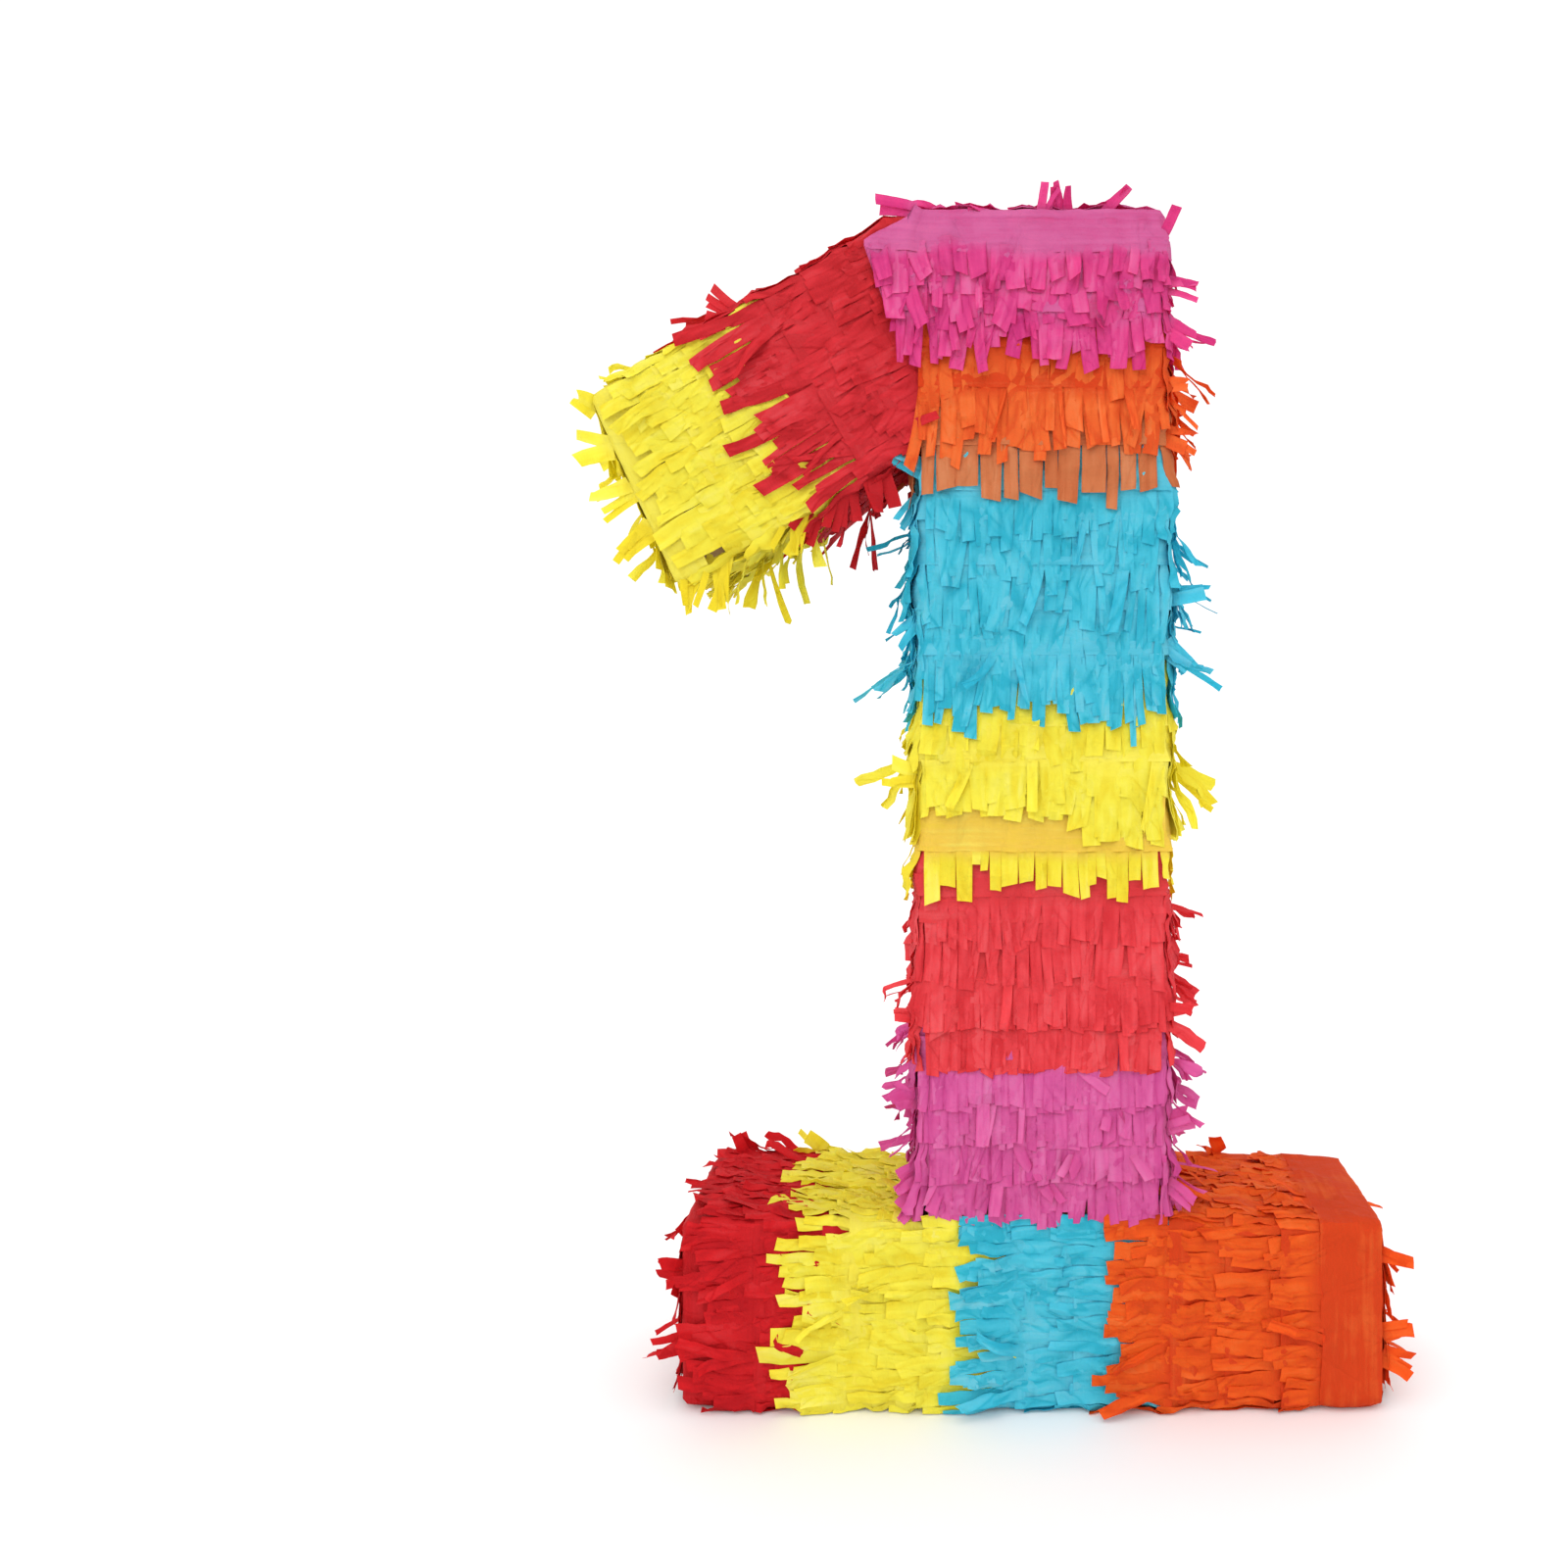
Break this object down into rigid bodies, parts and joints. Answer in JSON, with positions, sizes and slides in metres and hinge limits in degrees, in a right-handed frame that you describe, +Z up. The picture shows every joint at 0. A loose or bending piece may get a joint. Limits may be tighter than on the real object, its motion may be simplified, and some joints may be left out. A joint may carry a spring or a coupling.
{
  "type": "numeral pinata",
  "caption": "Hollow cardboard party pinata in the shape of the figure 1, covered in rows of fringed coloured paper, with a filling flap in its back.",
  "frame": {"origin": "middle of the base's flat underside", "axes": "+Z up along the post, +Y from the front face to the back, +X to the right seen from the front"},
  "size_m": [0.3577, 0.09, 0.542],
  "materials": {
    "board": "brown corrugated board, matt",
    "tape": "gummed kraft paper tape",
    "paper_pink": "magenta crepe paper, matt, slightly see-through",
    "paper_orange": "orange crepe paper, matt, slightly see-through",
    "paper_tan": "thin orange-tan crepe paper, matt",
    "paper_blue": "sky blue crepe paper, matt, slightly see-through",
    "paper_yellow": "lemon yellow crepe paper, matt, slightly see-through",
    "paper_red": "red crepe paper, matt, slightly see-through",
    "paper_deep_red": "deep red crepe paper, matt"
  },
  "bodies": {
    "shell": {"front_panel": "board", "back_panel": "board", "bottom_band": "board", "right_band": "board", "left_band": "board", "front_seam_tape": "tape", "back_seam_tape": "tape", "hanger_plate": "board", "underside_paper": "paper_deep_red", "post_pink_high_1": "paper_pink", "post_pink_high_2": "paper_pink", "post_pink_high_3": "paper_pink", "post_orange_1": "paper_orange", "post_orange_2": "paper_orange", "post_tan_1": "paper_tan", "post_blue_1": "paper_blue", "post_blue_2": "paper_blue", "post_blue_3": "paper_blue", "post_blue_4": "paper_blue", "post_blue_5": "paper_blue", "post_yellow_1": "paper_yellow", "post_yellow_2": "paper_yellow", "post_yellow_3": "paper_yellow", "post_yellow_hem_1": "paper_yellow", "post_red_1": "paper_red", "post_red_2": "paper_red", "post_red_3": "paper_red", "post_red_4": "paper_red", "post_pink_low_1": "paper_pink", "post_pink_low_2": "paper_pink", "post_pink_low_3": "paper_pink", "post_pink_low_4": "paper_pink", "base_red_1": "paper_deep_red", "base_red_2": "paper_deep_red", "base_red_3": "paper_deep_red", "base_yellow_1": "paper_yellow", "base_yellow_2": "paper_yellow", "base_yellow_3": "paper_yellow", "base_yellow_4": "paper_yellow", "base_blue_1": "paper_blue", "base_blue_2": "paper_blue", "base_blue_3": "paper_blue", "base_orange_1": "paper_orange", "base_orange_2": "paper_orange", "base_orange_3": "paper_orange", "base_orange_4": "paper_orange", "arm_yellow_1": "paper_yellow", "arm_yellow_2": "paper_yellow", "arm_yellow_3": "paper_yellow", "arm_yellow_4": "paper_yellow", "arm_red_1": "paper_red", "arm_red_2": "paper_red", "arm_red_3": "paper_red", "arm_red_4": "paper_red", "top_fringe": "paper_pink", "arm_end_fringe": "paper_yellow", "base_left_fringe": "paper_deep_red", "base_right_fringe": "paper_orange"},
    "flap": {"fill_flap": "board", "flap_fringe": "paper_blue"}
  },
  "joints": [
    {"name": "flap_fold", "type": "hinge", "parent": "shell", "child": "flap", "pos_m": [-0.0275, 0.0409, 0.361], "axis": [0, 0, 1], "range_deg": [0, 100]}
  ]
}
